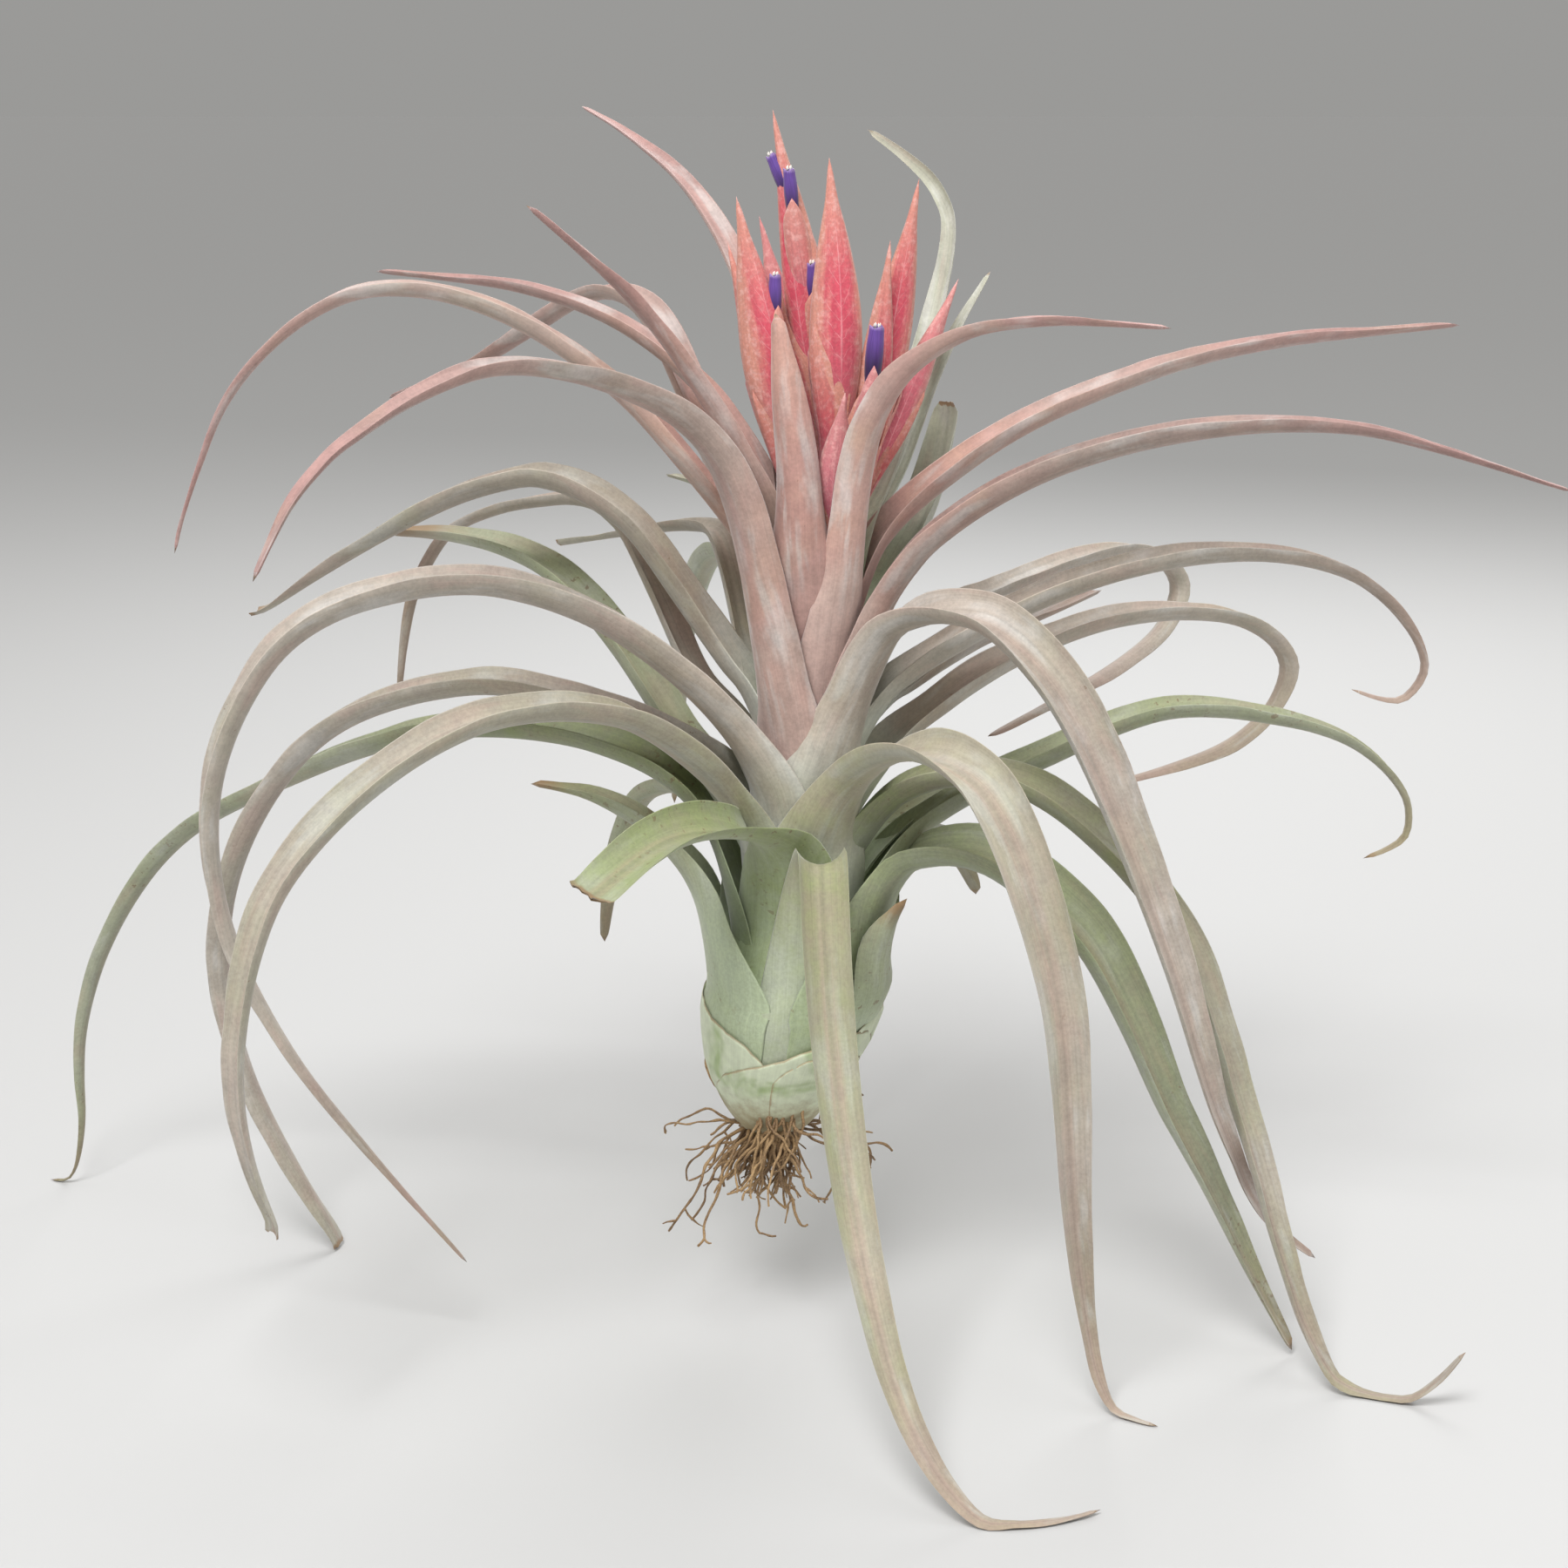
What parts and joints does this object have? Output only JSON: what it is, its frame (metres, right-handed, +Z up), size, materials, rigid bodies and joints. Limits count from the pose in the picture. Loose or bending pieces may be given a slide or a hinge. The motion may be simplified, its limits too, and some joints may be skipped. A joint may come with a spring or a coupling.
{
  "type": "tropical fire air plant",
  "caption": "Air plant in flower: long arching channelled leaves round a bulbous stem, a head of flat coral bract spikes with violet tube flowers, and wiry roots.",
  "frame": {"origin": "middle of the floor area that the plant covers, at the surface it rests on", "axes": "+Z up along the stem, +X along the widest spread of the leaves, -Y towards the side seen in the picture"},
  "size_m": [0.4034, 0.263, 0.309],
  "materials": {
    "leaf_upper": "matt, with a silvery bloom on mauve",
    "leaf_middle": "matt, with a silvery bloom on lilac grey",
    "leaf_lower": "matt, with a silvery bloom on sage green",
    "bract": "satin coral pink with pale veins",
    "petal": "satin deep violet",
    "sheath": "matt pale mint",
    "root": "matt tan brown"
  },
  "bodies": {
    "root": {"stem_with_bulb": "sheath", "roots": "root", "leaf_left_01": "leaf_upper", "leaf_left_02": "leaf_upper", "leaf_left_03": "leaf_upper", "leaf_left_04": "leaf_upper", "leaf_left_05": "leaf_upper", "leaf_left_06": "leaf_upper", "leaf_left_07": "leaf_middle", "leaf_left_08": "leaf_middle", "leaf_left_09": "leaf_lower", "leaf_left_10": "leaf_middle", "leaf_left_11": "leaf_middle", "leaf_left_12": "leaf_middle", "leaf_left_13": "leaf_lower", "leaf_left_14": "leaf_lower", "leaf_left_15": "leaf_lower", "leaf_left_16": "leaf_lower", "leaf_left_17": "leaf_middle", "leaf_right_01": "leaf_upper", "leaf_right_02": "leaf_upper", "leaf_right_03": "leaf_upper", "leaf_right_04": "leaf_middle", "leaf_right_05": "leaf_lower", "leaf_right_06": "leaf_middle", "leaf_right_07": "leaf_lower", "leaf_right_08": "leaf_middle", "leaf_right_09": "leaf_middle", "leaf_right_10": "leaf_middle", "leaf_right_11": "leaf_middle", "leaf_right_12": "leaf_lower", "leaf_right_13": "leaf_lower", "leaf_front_01": "leaf_upper", "leaf_front_02": "leaf_middle", "leaf_front_03": "leaf_middle", "leaf_back_01": "leaf_lower", "leaf_back_02": "leaf_lower", "leaf_back_03": "leaf_lower", "leaf_back_04": "leaf_lower", "leaf_back_05": "leaf_lower", "leaf_back_06": "leaf_lower", "leaf_back_07": "leaf_lower", "leaf_back_08": "leaf_lower", "leaf_back_09": "leaf_lower", "spike_01": "bract", "spike_02": "bract", "spike_03": "bract", "spike_04": "bract", "spike_05": "bract", "spike_06": "bract", "spike_07": "bract", "spike_08": "bract", "spike_09": "bract", "spike_10": "bract", "flower_01": "petal", "flower_02": "petal", "flower_03": "petal", "flower_04": "petal", "flower_05": "petal"}
  },
  "joints": []
}
